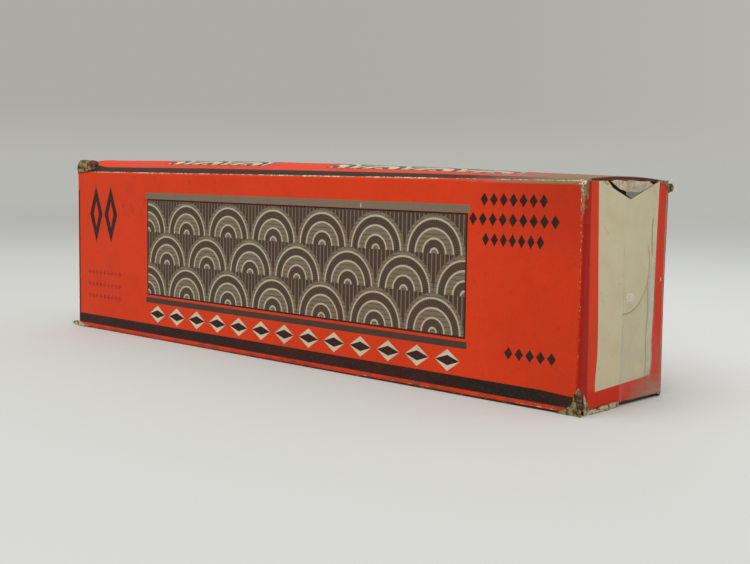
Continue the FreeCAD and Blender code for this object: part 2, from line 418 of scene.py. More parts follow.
def make_closing_flap(name, outwards):
    """A closing flap with its thumb notch, its rounded fold and its tuck tongue, from one sheet.
    It is shaped at the taped end, and turned over for the plain end."""
    face_x = TAPED_FACE
    tongue_low, tongue_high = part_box("taped_end_tongue")
    reach = tongue_high.x - tongue_low.x
    lean = 10                   # degrees that the tongue turns in past square
    corner = 5 * MM             # radius of the tongue's corners
    cuts = 6                    # rows of points that each corner is cut through
    row_reach = corner / 11     # points this near to a row belong to it
    notch = (FLAP_FRONT + FLAP_BACK) / 2 + 0.9 * MM     # middle of the thumb notch
    half = 9.5 * MM             # half the notch's width
    deep = 3.1 * MM             # and its depth
    frayed = 0.8 * MM           # how far the flap's upper corners stand up
    front = FLAP_FRONT + FLAT_LEAD
    back = FLAP_BACK + 0.2 * MM - TUCK_FOLD
    flap = blank(name, (face_x, front, FLAP_LOW), (face_x, back, FLAP_HIGH), "taped end", 24, FLAP_ROWS)

    score("z", (tongue_low.z, tongue_high.z))
    pick("EDGE", lambda p: near(p.y, back) and not tongue_low.z < p.z < tongue_high.z)
    pull_edge((0, TUCK_FOLD, 0), 2)
    pick("EDGE", lambda p: near(p.y, back) and tongue_low.z < p.z < tongue_high.z)
    roll_edge((face_x - TUCK_FOLD, back, 0), (0, 0, 1), 90 + lean, FOLD_STEPS)
    run = reach - TUCK_FOLD
    pull_edge((-run * math.cos(math.radians(lean)), -run * math.sin(math.radians(lean)), 0), 6)
    weld()
    tip_x = face_x - BOARD - reach
    for z, side in ((tongue_low.z, 1), (tongue_high.z, -1)):
        for step in range(cuts):
            depth = corner * (step + 0.5) / cuts
            inset = corner - math.sqrt(corner ** 2 - (corner - depth) ** 2)
            pick("VERT", lambda p: near(p.z, z) and near(p.x, tip_x + depth, row_reach))
            shift((0, 0, side * inset))

    for side in (-1, 1):
        pick("FACE", lambda p: near(p.y, notch, half + 2 * MM) and p.z > FLAP_HIGH - 6 * MM)
        slant = Vector((0, side * deep, -half)).normalized()
        apex = (face_x, notch, FLAP_HIGH - deep)
        bpy.ops.mesh.bisect(plane_co=apex, plane_no=slant, threshold=0.001 * MM)

    def in_notch(p):
        return FLAP_HIGH - p.z < deep * (1 - abs(p.y - notch) / half)

    pick("FACE", lambda p: p.x > face_x - 0.1 * MM and in_notch(p))
    bpy.ops.mesh.delete(type="FACE")
    for corner_from, corner_to in ((FLAP_FRONT, notch - half), (FLAP_BACK - 4 * MM, FLAP_BACK)):
        pick("VERT", lambda p: near(p.z, FLAP_HIGH) and corner_from <= p.y <= corner_to)
        push((0, 0, frayed), reach=2.5 * MM)
    bulge_end(face_x)
    if outwards < 0:
        bpy.ops.mesh.select_all(action="SELECT")
        bpy.ops.transform.resize(value=(-1, 1, 1), center_override=(CENTRE, 0, 0))
    return thicken(flap, (outwards, 0, 0), free=lambda p: p.y > front + TRIM)


def make_dust_flap(node, outwards, crown, slumped):
    """A dust flap with slanted sides and rounded tip corners, its crease edge crowned if its panel is."""
    front_taper = 7.8 * MM
    back_taper = 1 * MM
    corner = 2 * MM
    sunk = 0.3 * MM             # how far the tip has sunk in
    slump = 12                  # degrees that a slumped flap hangs in
    rows = 8
    inwards = -1 if "upper" in node else 1
    outer_x = TAPED_CREASE if outwards > 0 else PLAIN_CREASE
    panel_z = TOP_FOLD if inwards < 0 else UNDERSIDE
    crease_z = panel_z + inwards * DUST_CREASE
    tip_z = panel_z + inwards * DUST_REACH
    facing = "taped end" if outwards > 0 else "plain end"
    flap = blank(node + "_board", (outer_x, DUST_FROM, crease_z), (outer_x, DUST_TO, tip_z), facing)
    for y, taper in ((DUST_FROM, front_taper), (DUST_TO, -back_taper)):
        pick("VERT", lambda p: near(p.y, y) and near(p.z, tip_z))
        shift((0, taper, 0))
    pick("VERT", lambda p: near(p.z, tip_z))
    bpy.ops.mesh.bevel(offset=corner, segments=5, affect="VERTICES")
    score("y", CREASE_LINES[1:-1])
    score("z", [crease_z + step * (tip_z - crease_z) / rows for step in range(1, rows)])
    if crown:
        bow_line(crease_z, crown)
    pick("VERT", lambda p: near(p.z, tip_z, 3 * MM))
    push((-outwards * sunk, 0, 0), reach=9 * MM)
    if slumped:
        bpy.ops.mesh.select_all(action="SELECT")
        hinge = (outer_x - BOARD, 0, crease_z + crown)
        bpy.ops.transform.rotate(value=-math.radians(slump), orient_axis="Y", center_override=hinge)
    return thicken(flap, (outwards, 0, 0), free=lambda p: True)


def make_dust_crease(name, outwards, upper, crown):
    """The rounded crease that carries a dust flap on the top or bottom panel."""
    lead = 0.1 * MM
    steps = 5
    down = -1 if upper else 1
    panel_x = (TAPED_CREASE if outwards > 0 else PLAIN_CREASE) - outwards * DUST_CREASE
    panel_z = TOP_FOLD if upper else UNDERSIDE
    corner = (panel_x - outwards * lead, DUST_FROM, panel_z)
    facing = "up" if upper else "down"
    crease = blank(name, corner, (panel_x, DUST_TO, panel_z), facing, 1, CREASE_COLUMNS)
    if crown:
        bow_line(panel_z, crown)
    pick("EDGE", lambda p: near(p.x, panel_x))
    for step in range(steps):
        now = math.radians(90 * step / steps)
        then = math.radians(90 * (step + 1) / steps)
        run_x = outwards * DUST_CREASE * (math.sin(then) - math.sin(now))
        run_z = down * DUST_CREASE * (math.cos(now) - math.cos(then))
        pull_edge((run_x, 0, run_z))
    return thicken(crease, (outwards, 0, -down), CREASE_WALL)


def make_plain_end_crease():
    """The upright fold between the front panel and the plain end's closing flap."""
    start = PLAIN_FACE + END_FOLD
    corner = (start, FRONT_FACE, FLAP_LOW)
    opposite = (start + FLAT_LEAD, FRONT_FACE, FLAP_HIGH)
    crease = blank("plain_end_crease", corner, opposite, "front", 1, FLAP_ROWS)
    turn_corner(start, -1, 10)
    return thicken(crease, (-1, -1, 0), CREASE_WALL)


def make_tape():
    """The film over the closing flap, round the back corner and along the back panel."""
    bend = 0.5 * MM
    face_x = TAPED_FACE + FILM
    end = BACK_FACE - bend
    corner = (face_x, tape_low.y, tape_low.z)
    film = blank("clear_tape_film", corner, (face_x, end, tape_high.z), "taped end", 30, 44)
    pick("EDGE", lambda p: near(p.y, end))
    roll_edge((TAPED_FACE - bend, end, 0), (0, 0, 1), 90, 6)
    weld()
    pick("EDGE", lambda p: near(p.y, BACK_FACE + FILM))
    pull_edge((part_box("tape_over_back")[0].x - (TAPED_FACE - bend), 0, 0), 24)
    bulge_end(face_x)
    # A wrinkle stands up along the crease, which sways a little on its way up.
    wrinkle = 0.1 * MM
    sway = 0.35 * MM
    for up in range(5, 31, 2):
        crease_y = FRONT_FACE + 28 * MM + sway * math.sin(up * 0.4)
        pick("VERT", lambda p: near(p.y, crease_y, 0.4 * MM) and near(p.z, up * MM, 0.8 * MM))
        push((wrinkle, 0, 0), reach=1.3 * MM, falloff="SHARP")
    return thicken(film, (1, 0, 0), FILM * 0.7)


# ---- torn and frayed board ----

def make_torn_layer(name, outline, outwards, ruffle, thickness, seed):
    """A torn layer of board: a filled outline, divided with a ragged, ruffled surface, and thickened."""
    clear = Vector((0, 0, 30 * MM))     # lifts the placed corners clear of those still to be picked
    bpy.ops.object.select_all(action="DESELECT")
    bpy.ops.mesh.primitive_circle_add(vertices=len(outline), radius=5 * MM, fill_type="NGON")
    layer = name_it(name)
    ring = [vertex.co.copy() for vertex in layer.data.vertices]
    edit(layer)
    for start, corner in zip(ring, outline):
        pick("VERT", lambda p: (p - start).length < 0.001 * MM)
        shift(Vector(corner) * MM + clear - start)
    bpy.ops.mesh.select_all(action="SELECT")
    shift(-clear)
    bpy.ops.mesh.quads_convert_to_tris(ngon_method="BEAUTY")
    bpy.ops.mesh.subdivide(number_cuts=2, fractal=ruffle, fractal_along_normal=0.7, seed=seed)
    bpy.ops.mesh.subdivide(number_cuts=1, fractal=ruffle, fractal_along_normal=0.5, seed=seed + 1)
    return thicken(layer, outwards, thickness * MM, crisp=30)


def make_curl(name, edge, length, radius, turn, steps):
    """A lip of board rolled up along X, tighter with each part of its turn."""
    lip = 0.5 * MM
    x, y, z = edge
    curl = blank(name, (x - length / 2, y - lip, z), (x + length / 2, y, z), "up", 6)
    pick("EDGE", lambda p: near(p.y, y))
    tip = Vector(edge)
    inwards = Vector((0, 0, -1))
    for step in range(steps):
        tight = radius * (1 - 0.2 * step)
        hub = tip + inwards * tight
        roll_edge(hub, (-1, 0, 0), turn / steps, 6)
        turned = Matrix.Rotation(-math.radians(turn / steps), 3, "X")
        tip = hub - turned @ (inwards * tight)
        inwards = turned @ inwards
    return thicken(curl, (0, 0, 1), 0.18 * MM, crisp=35)


# ================================ finishes ================================

def ink(red, green, blue):
    """A colour as it is seen, 0 to 255, as the values that the shader takes."""
    values = []
    for value in (red, green, blue):
        share = value / 255
        values.append(share / 12.92 if share < 0.04045 else ((share + 0.055) / 1.055) ** 2.4)
    return (*values, 1)


ORANGE = ink(207, 54, 10)
DEEP_ORANGE = ink(198, 34, 0)
PALE_ORANGE = ink(236, 122, 70)
# Painted shade: the dark red of the upright fold beside the tape, where it turns from the light.
PAINTED_FOLD_SHADE = ink(160, 16, 0)
# Painted shade on the front face towards the taped end; also the colour of the back panel's inked cut edges.
SHADED_RED = ink(170, 38, 8)
AGED_RED = ink(110, 30, 14)
FAINT_RED = ink(140, 38, 18)
# Painted shade: the dark maroon of folds, creases and edges that lie in shade.
PAINTED_SHADE_MAROON = ink(84, 24, 14)
CHARCOAL = ink(40, 25, 22)
SOOT = ink(22, 24, 20)
BLACK = ink(14, 10, 8)
TAUPE = ink(116, 104, 85)
TAUPE_DARK = ink(64, 54, 44)
CREAM_INK = ink(200, 190, 160)
LABEL = ink(197, 187, 152)
PENCIL = ink(128, 52, 34)
ROSE_GREY = ink(150, 100, 84)
BARE_BOARD = ink(184, 170, 138)
BARE_DARK = ink(120, 104, 78)
WORN_PALE = ink(214, 192, 156)
WORN_OLIVE = ink(124, 108, 72)
WORN_BROWN = ink(78, 54, 36)
FILM_HAZE = ink(206, 202, 188)
FILM_SHADOW = ink(96, 88, 70)
FILM_SOILED = ink(182, 150, 128)
HORIZON = ink(183, 183, 178)
# The floor's painted light: paler near the carton, darker away, palest where lit at the right.
FLOOR_NEAR = ink(189, 189, 184)
FLOOR_AWAY = ink(174, 174, 169)
FLOOR_LIT = ink(199, 199, 194)


class Wire:
    """A value that varies over the surface. Sums and products with it add the nodes for them."""

    tree = None     # the node tree that is being wired

    def __init__(self, socket):
        self.socket = socket

    def __add__(self, other):
        return calc("ADD", self, other)

    def __sub__(self, other):
        return calc("SUBTRACT", self, other)

    def __rsub__(self, other):
        return calc("SUBTRACT", other, self)

    def __mul__(self, other):
        return calc("MULTIPLY", self, other)

    def __truediv__(self, other):
        return calc("DIVIDE", self, other)

    def __abs__(self):
        return calc("ABSOLUTE", self)

    __radd__ = __add__
    __rmul__ = __mul__


def add(kind):
    """Adds a node to the tree that is being wired."""
    return Wire.tree.nodes.new("ShaderNode" + kind)


def feed(socket, value):
    """Gives a socket a link or a fixed value."""
    if isinstance(value, Wire):
        Wire.tree.links.new(value.socket, socket)
    else:
        socket.default_value = value


def calc(operation, *values):
    """A sum or another step of arithmetic."""
    node = add("Math")
    node.operation = operation
    for socket, value in zip(node.inputs, values):
        feed(socket, value)
    return Wire(node.outputs[0])


def largest(first, *others):
    """The largest of several values."""
    for other in others:
        first = calc("MAXIMUM", first, other)
    return first


def least(first, *others):
    """The least of several values."""
    for other in others:
        first = calc("MINIMUM", first, other)
    return first


def off(value, place):
    """How far a value is from a place."""
    return abs(value - place)


def far(first, *others):
    """The distance that goes with two or three offsets square to each other."""
    total = calc("POWER", first, 2)
    for other in others:
        total = total + calc("POWER", other, 2)
    return calc("SQRT", total)


def zigzag(value, peak):
    """Goes up to the peak and back to 0, over and over."""
    return calc("PINGPONG", value, peak)


def slope(value, low, high, at_low, at_high):
    """A straight run from one value to another, level beyond both ends."""
    node = add("MapRange")
    for socket, number in zip(node.inputs, (value, low, high, at_low, at_high)):
        feed(socket, number)
    return Wire(node.outputs["Result"])


def ramp(value, low, high):
    """0 below low, 1 above high, and smooth between; low may be above high."""
    result = slope(value, low, high, 0, 1)
    result.socket.node.interpolation_type = "SMOOTHSTEP"
    return result


def mix(share, first, second):
    """The first colour, and the second where the share is 1."""
    node = add("Mix")
    node.data_type = "RGBA"
    feed(node.inputs[0], share)
    feed(node.inputs[6], first)
    feed(node.inputs[7], second)
    return Wire(node.outputs[2])


def lay(colour, *layers):
    """Lays inks over a colour, one after another, each with its share."""
    for share, over in layers:
        colour = mix(share, colour, over)
    return colour


def object_place():
    """Where a point is on the object, in metres."""
    return Wire(add("TexCoord").outputs["Object"])


def split(vector):
    """The three parts of a place or a direction."""
    node = add("SeparateXYZ")
    feed(node.inputs[0], vector)
    return [Wire(part) for part in node.outputs]


def noise(scale, detail=3, roughness=0.55):
    """Soft random clouds, finer the larger their scale."""
    node = add("TexNoise")
    feed(node.inputs["Vector"], object_place())
    feed(node.inputs["Scale"], scale)
    feed(node.inputs["Detail"], detail)
    feed(node.inputs["Roughness"], roughness)
    return Wire(node.outputs["Fac"])


def add_sockets(side, values):
    """Gives the node group its named inputs or outputs: colours, or else plain values."""
    for label, value in values.items():
        kind = "Color" if label == "Color" or isinstance(value, tuple) else "Float"
        new_socket = Wire.tree.interface.new_socket
        socket = new_socket(name=label, in_out=side, socket_type="NodeSocket" + kind)
        if side == "INPUT":
            socket.default_value = value


def open_group(name, **inputs):
    """Starts a node group with named inputs, and gives the values that they bring."""
    Wire.tree = bpy.data.node_groups.new(name, "ShaderNodeTree")
    add_sockets("INPUT", inputs)
    entry = Wire.tree.nodes.new("NodeGroupInput")
    return [Wire(entry.outputs[label]) for label in inputs]


def close_group(**outputs):
    """Ends the node group with its named outputs."""
    add_sockets("OUTPUT", outputs)
    leave = Wire.tree.nodes.new("NodeGroupOutput")
    for label, value in outputs.items():
        feed(leave.inputs[label], value)
    return Wire.tree


def use(group, *values):
    """Places a group with its own values, in the group's order, and gives what it puts out."""
    node = add("Group")
    node.node_tree = group
    for socket, value in zip(node.inputs, values):
        feed(socket, value)
    return [Wire(socket) for socket in node.outputs]


# ---- effects that several finishes share ----

def make_ruler():
    """Where a point is on the carton, in millimetres: from the plain end, the front and the floor."""
    open_group("Ruler")
    x, y, z = split(object_place())
    return close_group(
        Along=(x - PLAIN_FACE) / MM,
        Back=(y - FRONT_FACE) / MM,
        Up=(z - UNDERSIDE) / MM,
    )


def make_block():
    """A printed rectangle with soft edges."""
    across, height, left, right, low, high, soft = open_group(
        "Printed block", Across=0, Height=0, Left=0, Right=1, Low=0, High=1, Soft=0.06
    )
    inside = least(across - left, right - across, height - low, high - height)
    return close_group(Mask=ramp(inside, soft * -1, soft))


def make_lozenges():
    """A centred row of whole lozenges."""
    across, height, middle, line, count, pitch, tall = open_group(
        "Row of lozenges", Across=0, Height=0, Middle=0, Line=0, Count=1, Pitch=2, Tall=1
    )
    away = (across - middle) / pitch
    lozenge = ramp(zigzag(away, 0.5) * 2.5 + off(height, line) / tall, 1.06, 0.94)
    return close_group(Mask=lozenge * calc("LESS_THAN", abs(away), count * 0.5))


def make_band():
    """A field of ringed half discs in two inks, each row half a disc along from the one below, with
    fine ruling between and a mask for a thin outline round it."""
    across, height, wide, high, radius, light, dark = open_group(
        "Band of half discs", Across=0, Height=0, Wide=90, High=20, Radius=10, Light=TAUPE, Dark=CHARCOAL
    )
    row = calc("FLOOR", height / radius)
    up = calc("FRACT", height / radius)
    sideways = zigzag(across / radius + row, 1)
    distance = far(sideways, up)
    rings = zigzag(distance * 4, 1)
    rays = ramp(zigzag(calc("ARCTAN2", sideways, up) * 13, 0.5), 0.36, 0.44)
    ruled = ramp(zigzag(height / 1.1, 0.5), 0.34, 0.42)
    upright = ramp(zigzag(across / 1.3, 0.5), 0.34, 0.42)
    disc = lay(
        mix(ruled * 0.55, light, dark),
        (ramp(rings, 0.46, 0.54), mix(rays * 0.5, dark, light)),
        (ramp(off(rings, 0.5), 0.13, 0.07) * 0.7, CREAM_INK),
        (ramp(distance, 0.98, 1.01), mix(upright, dark, light)),
    )
    outline = 0.45
    rim = block(across, height, -outline, wide + outline, -outline, high + outline)
    return close_group(Color=disc, Rim=rim, Field=block(across, height, 0, wide, 0, high))


def make_flecks():
    """Ink gone in flecks that run together where the distance is small."""
    distance, reach, amount, grain = open_group("Flecks", Distance=0, Reach=0.5, Amount=0, Grain=900)
    return close_group(Mask=ramp(noise(grain) + amount - abs(distance) / reach, 0.50, 0.58))


def make_corner_slit():
    """The split at the foot of the upright fold by the tape, where black is painted as the shade inside it.
    """
    back, up = open_group("Corner slit", Back=0, Up=0)
    return close_group(Mask=block(back, up, 0.25, 1.5, 0.5, slope(back, 0.4, 1.5, 4.6, 3), 0.2))


def make_foot_dirt():
    """Dirt in clouds along the foot of the front, more of it towards the tape."""
    along, = open_group("Foot dirt", Along=0)
    return close_group(Mask=ramp(noise(330), 0.38, 0.68) * slope(along, 10, 90, 0.2, 0.55))


def make_wear():
    """Where the ink is rubbed off along the folds and over the corners, and where it is soiled."""
    along, back, up = open_group("Wear", Along=0, Back=0, Up=0)
    specks = noise(850, 4, 0.6)
    patches = (noise(95, 2) - 0.5) * 1.1
    front_amount = slope(along, 2, 15, 0.1, 0.52) + slope(along, 140, 180, 0, -0.26)
    # Folds: two directions with the fold's place in each, how far the wear reaches, how bare it is.
    folds = (
        (back, 0.18, up, HEIGHT - 0.2, 0.38, front_amount),
        (back, 0.2, up, 0.2, 0.5, 0.14),
        (back, WIDTH - 0.2, up, HEIGHT - 0.2, 0.7, 0.2),
        (back, WIDTH - 0.2, up, 0.2, 0.5, 0.05),
        (along, 0.2, back, 0.2, 0.5, 0),
        (along, 0.1, back, WIDTH - 0.1, 0.6, 0.15),
        (along, LENGTH - 0.1, back, WIDTH - 0.1, 0.5, -0.15),
    )
    # Corners: their place, how far the wear reaches, how bare it is.
    corners = (
        (LENGTH - 1.2, 0.2, HEIGHT, 3.4, 0.22),
        (0.5, 0.5, HEIGHT + 0.5, 3.6, 0.30),
        (0.2, 0.5, 0.8, 2.2, 0.25),
        (LENGTH - 2, 0.6, 0, 5.5, 0.30),
        (LENGTH - 0.3, WIDTH - 0.5, HEIGHT, 2.4, 0.20),
        (LENGTH - 0.3, WIDTH - 0.5, 0.5, 1.8, 0.25),
        (0.3, WIDTH - 0.5, HEIGHT, 2.6, 0.30),
        (0.3, WIDTH - 0.5, 0.5, 2.2, 0.25),
    )
    worn = []
    for first, first_at, second, second_at, reach, amount in folds:
        worn.append(patches + amount - far(off(first, first_at), off(second, second_at)) / reach)
    for along_at, back_at, up_at, reach, amount in corners:
        worn.append(amount - far(off(along, along_at), off(back, back_at), off(up, up_at)) / reach)
    bare = specks + largest(*worn)
    return close_group(Bare=ramp(bare, 0.52, 0.60), Soiled=ramp(bare, 0.20, 0.55))


def make_handling():
    """Age of a printed face: mottled ink, scuffs and grime, and bare board where it is rubbed."""
    printed, bare, soiled, grime = open_group("Handling", Ink=ORANGE, Bare=0, Soiled=0, Grime=0.3)
    broad = noise(30)
    streaks = noise(160, 4, 0.6)
    fine = noise(480, 4, 0.6)
    fibre = noise(2600, 3, 0.65)
    mottle = ramp(broad, 0.38, 0.70) * 0.16 + ramp(streaks, 0.4, 0.7) * 0.14
    inked = lay(
        printed,
        (mottle, mix(0.5, printed, AGED_RED)),
        (ramp(fine, 0.60, 0.74) * grime + soiled * 0.35, WORN_BROWN),
        (ramp(fibre, 0.52, 0.78) * 0.09, PALE_ORANGE),
    )
    board = lay(
        WORN_PALE,
        (ramp(fibre, 0.40, 0.62), WORN_OLIVE),
        (ramp(fine, 0.52, 0.66) * 0.7, WORN_BROWN),
    )
    return close_group(
        Color=mix(bare, inked, board),
        Roughness=largest(broad * 0.16 + 0.42, bare * 0.9),
        Height=fibre * 0.35 + fine * 0.65 - bare * 0.9,
    )


def make_board_stock():
    """Unprinted board: warm grey-cream with darker fibres and specks."""
    light, dark, soil = open_group("Board stock", Light=BARE_BOARD, Dark=BARE_DARK, Soil=0.3)
    cloud = noise(900, 4)
    fibre = noise(2200, 4, 0.7)
    fibres = ramp(fibre, 0.45, 0.75) * 0.5
    specks = ramp(cloud, 0.42, 0.66) * soil
    return close_group(Color=lay(light, (fibres, dark), (specks, dark)), Height=fibre * 0.5 + cloud * 0.5)


def block(*places):
    """Across, height, left, right, low, high and, if wanted, how soft its edges are."""
    return use(BLOCK, *places)[0]


def lozenges(*places):
    """Across, height, middle, line, count, pitch and half height."""
    return use(LOZENGES, *places)[0]


def flecks(*values):
    """Distance, reach, amount and grain."""
    return use(FLECKS, *values)[0]


RULER = make_ruler()
BLOCK = make_block()
LOZENGES = make_lozenges()
BAND = make_band()
FLECKS = make_flecks()
CORNER_SLIT = make_corner_slit()
FOOT_DIRT = make_foot_dirt()
WEAR = make_wear()
HANDLING = make_handling()
STOCK = make_board_stock()


# ---- artwork: half discs, lozenges, ruled bars and stripes ----

PAST_ENDS = (-1, 188)   # a stripe that runs off both ends

# Rows of lozenges on the front: middle, line, count, pitch, half height, strength and ink.
FRONT_ROWS = (
    (96.1, 7.6, 13, 9.1, 2.5, 1, CREAM_INK),
    (96.1, 7.6, 13, 9.1, 1.2, 1, CHARCOAL),
    (10.2, 35.8, 1, 8.4, 8.6, 1, CHARCOAL),
    (10.2, 35.8, 1, 3.4, 4, 1, ORANGE),
    (18, 35.8, 1, 8.4, 8.6, 1, CHARCOAL),
    (18, 35.8, 1, 3.4, 4, 1, ORANGE),
    (14.4, 10.4, 9, 2, 0.8, 0.7, FAINT_RED),
    (14.4, 14.1, 9, 2, 0.8, 0.7, FAINT_RED),
    (14.4, 17.8, 9, 2, 0.8, 0.7, FAINT_RED),
    (168, 44.3, 7, 2.6, 1.5, 1, CHARCOAL),
    (168, 40, 9, 2.7, 1.5, 1, CHARCOAL),
    (168, 35.6, 7, 2.4, 1.5, 1, CHARCOAL),
    (173.3, 11.2, 5, 2.8, 1.4, 1, CHARCOAL),
)


def lay_band(colour, across, height, left, low, radius, discs, rows, light, dark):
    """Lays a band of half discs over a colour: its left and low sides, and how many it has."""
    size = (discs * radius, rows * radius, radius)
    tiles, rim, field = use(BAND, across - left, height - low, *size, light, dark)
    return lay(colour, (rim, CHARCOAL), (field, tiles))


def front_artwork(along, back, up):
    """Stripe, band of half discs with bars and lozenges, and small marks at the corners, with painted shade:
    darker towards the taped end and its top, a dark red strip on the fold by the tape, black in the split at
    its foot and a dark strip down the fold at the plain end.
    """
    colour = lay(
        ORANGE,
        # Painted shade: the face darker towards the taped end and its top.
        (ramp(along, 150, 186) * 0.35, SHADED_RED),
        (ramp(along, 150, 182) * ramp(up, 28, 44) * 0.6, SHADED_RED),
        # Painted shade along the upright fold by the tape.
        (ramp(along - up * 0.008, 184.8, 185.5), PAINTED_FOLD_SHADE),
    )
    colour = lay_band(colour, along, up, 37, 13.4, 9.1, 13, 3, TAUPE, TAUPE_DARK)
    for *row, strength, row_ink in FRONT_ROWS:
        colour = lay(colour, (lozenges(along, up, *row) * strength, row_ink))
    stripe = block(along, up, -1, 184.6, 1.5, slope(along, 176, 184, 4.4, 4), 0.1)
    scribble = calc("SINE", along * 1.25) * 2.4 + calc("SINE", along * 2.93) * 1.1 + 40
    broken = ramp(noise(260, 1), 0.42, 0.6)
    pencil = ramp(off(along, 30), 7.2, 5.5) * broken * ramp(off(up, scribble), 0.9, 0.3)
    crushed = flecks(along - 185.5, 1.7, slope(up, 39.5, 47.5, -0.05, 0.5), 1100)
    return lay(
        colour,
        (block(along, up, 36, 156.2, 41.2, 43), TAUPE),
        (block(along, up, 36, 156.2, 10.7, 12.3), TAUPE_DARK),
        (use(FOOT_DIRT, along)[0] * ramp(up, 1.7, 1.4), WORN_BROWN),
        (stripe, mix(ramp(along, 120, 178), CHARCOAL, SOOT)),
        (pencil * 0.4, PENCIL),
        (crushed, WORN_OLIVE),
        # Painted shade: black in the split at the foot of the fold.
        (use(CORNER_SLIT, back, up)[0], BLACK),
        # Painted shade: a dark strip down the fold at the plain end.
        (block(along, up, -1, 1.2, 3.7, 43, 0.3), PAINTED_SHADE_MAROON),
    )


def front_wear(along, back, up):
    """A rubbed patch and a line of flecks down the fold by the tape, a tick and scuffs at the foot."""
    patch = flecks(along - 185.3, 1.6, slope(up, 40, 48, -0.04, 0.16), 1300)
    line = flecks(along + up * 0.02 - 185.85, 0.4, slope(up, 16, 44, -0.12, 0.10), 1500)
    tick = block(along, up, 122.8, 123.1, 41.4, 42.8, 0.1) * 0.8
    scuffs = flecks(up - 0.9, 0.9, slope(along, 60, 120, -0.3, 0.04), 420)
    return patch, line, tick, scuffs


def top_artwork(along, back, up):
    """Stripe beside the front fold, then two short bands of half discs."""
    colour = ORANGE
    for left, discs in ((36, 5), (104, 7)):
        colour = lay_band(colour, along, back, left, 7.6, 8.6, discs, 2, CREAM_INK, TAUPE_DARK)
    stripe = block(along, back, *PAST_ENDS, 0.36, 3.8, 0.08)
    cloud = noise(240)
    greyed = ramp(cloud + slope(along, 138, 172, -0.35, 0.45), 0.4, 0.9) * (0.85 - stripe * 0.45)
    dulled = ramp(along, 164, 181) * (cloud + 0.35)
    return lay(colour, (stripe, CHARCOAL), (greyed, ROSE_GREY), (dulled, WORN_OLIVE))


def from_end(along):
    """The distance from the nearer end."""
    return least(along, LENGTH - along)


def end_edges(along):
    """Wear along the short edges of the top and bottom panels."""
    return flecks(from_end(along) - 0.7, 1, 0.08, 600)


def top_wear(along, back, up):
    """Wear along the short edges, and a wide rubbed place beside the taped end's front corner."""
    return end_edges(along), flecks(LENGTH - along, 12, slope(back, 1, 9, 0.12, -0.2), 600)


def back_artwork(along, back, up):
    """The same stripe, with a band of larger half discs."""
    return lay(
        lay_band(ORANGE, along, up, 24.5, 14, 11.4, 12, 2, TAUPE, TAUPE_DARK),
        (lozenges(along, up, 93, 8.6, 15, 9.1, 1.8), CREAM_INK),
        (block(along, up, *PAST_ENDS, 1.5, 4.4, 0.1), CHARCOAL),
    )


def back_wear(along, back, up):
    """Wear down both upright edges."""
    return (flecks(from_end(along), 0.9, -0.02, 600),)


def bottom_artwork(along, back, up):
    """Plain orange with one stripe and dirt along the foot, with a painted contact shadow under the front
    fold and painted shade at the tape.
    """
    dark_to = slope(along, 60, 186, 0.45, 0.7)
    # Painted contact shadow under the front fold, where it meets the floor.
    painted_contact_shadow = ramp(up - dark_to, 0, -0.25) * ramp(back, 3, 2) * ramp(along, 20, 130)
    return lay(
        ORANGE,
        (block(along, back, *PAST_ENDS, 4, 7.4, 0.1), CHARCOAL),
        (use(FOOT_DIRT, along)[0], WORN_BROWN),
        (painted_contact_shadow * 0.9, BLACK),
        # Painted shade at the taped end, under the closing flap.
        (ramp(along, LENGTH - 2, LENGTH - 1.2), PAINTED_SHADE_MAROON),
    )


def bottom_wear(along, back, up):
    """Scuffs all over what the carton stands on, and flecks under the front fold."""
    fold = flecks(up - 0.7, 0.6, slope(along, 60, 130, -0.3, 0.06), 420)
    return end_edges(along), flecks(0.5, 1, 0.36, 60), fold * ramp(back, 1, 0.8)


def end_artwork(along, back, up):
    """Plain label panel on an orange border, with a strip of painted shade along the fold beside the front,
    and black painted shade in the split at its foot.
    """
    bow = ramp(up, 5.5, 14) * slope(up, 20, 48, 0.85, 0.5)
    label = block(back, up, 6.1 - up * 0.037 + bow, up * 0.03 + 28.4, back * 0.04 + 4.3, 60, 0.08)
    # The border is darker at the foot, and painted shade darkens it towards the back edge.
    deeper = largest(ramp(up, 5.6, 4), ramp(back, 25, 29) * 0.7)
    from_strip = back - slope(up, 6, 42, 2.9, 2.1)
    return lay(
        ORANGE,
        (deeper, DEEP_ORANGE),
        (label, LABEL),
        # Painted shade along the fold beside the front.
        (ramp(from_strip, 0.3, -0.3), PAINTED_FOLD_SHADE),
        # Painted shade: black in the split at the foot of the fold.
        (use(CORNER_SLIT, back, up)[0], BLACK),
    )


def end_wear(along, back, up):
    """Ink gone along the flap's upper and lower edges, mostly near the front, and one nick."""
    low = flecks(up - 1, 0.8, slope(back, 12, 20, 0.2, -0.1), 500)
    high = flecks(up + back * 0.25 - 50.2, 1.2, slope(back, 9, 12, 0.25, -0.6), 420)
    return low, high, block(back, up, 31.7, 32.2, 26.5, 27.3, 0.15)


# ---- the finishes themselves ----

def new_finish(name):
    """A material with its shader, ready for its own nodes."""
    material = bpy.data.materials.new(name)
    material.use_nodes = True
    Wire.tree = material.node_tree
    return material, Wire.tree.nodes["Principled BSDF"]


def coat(shader, colour, roughness, gloss):
    """Gives a shader its colour, its roughness and how much it reflects."""
    feed(shader.inputs["Base Color"], colour)
    feed(shader.inputs["Roughness"], roughness)
    feed(shader.inputs["Specular IOR Level"], gloss)


def relief(shader, height, strength, depth):
    """Gives a shader the fine relief of its surface."""
    bump = add("Bump")
    feed(bump.inputs["Strength"], strength)
    feed(bump.inputs["Distance"], depth)
    feed(bump.inputs["Height"], height)
    feed(shader.inputs["Normal"], Wire(bump.outputs["Normal"]))


